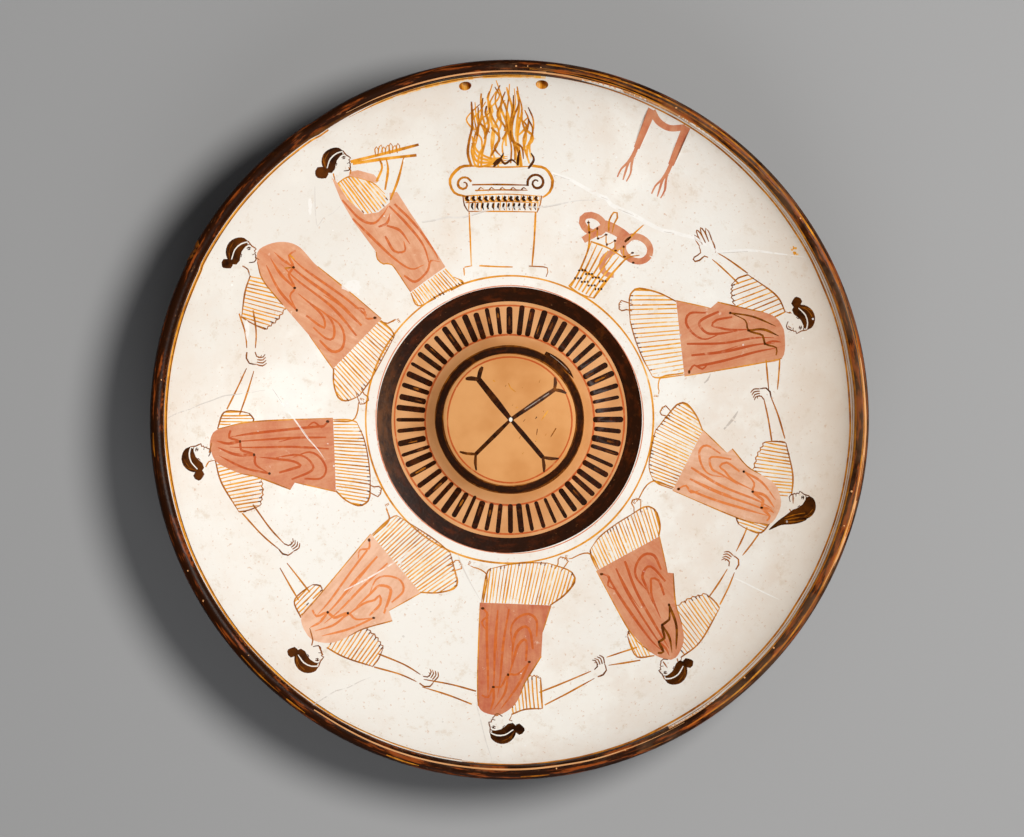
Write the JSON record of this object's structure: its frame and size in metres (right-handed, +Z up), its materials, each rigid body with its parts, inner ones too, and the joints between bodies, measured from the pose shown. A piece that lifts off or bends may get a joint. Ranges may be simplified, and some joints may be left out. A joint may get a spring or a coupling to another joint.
{
  "type": "libation bowl",
  "caption": "Shallow round clay libation bowl with a hollow central boss, a painted white-ground inside, a black rim and hanging holes.",
  "frame": {"origin": "centre of the flat ring that the bowl rests on, on the turning axis", "axes": "+Z up out of the bowl along the turning axis; +Y towards the pair of hanging holes"},
  "size_m": [0.24, 0.24, 0.038],
  "materials": {
    "painted_clay": "satin cream slip with painted figures inside, black gloss on rim, rings and outside, orange clay where worn"
  },
  "bodies": {
    "root": {"bowl": "painted_clay"}
  },
  "joints": []
}
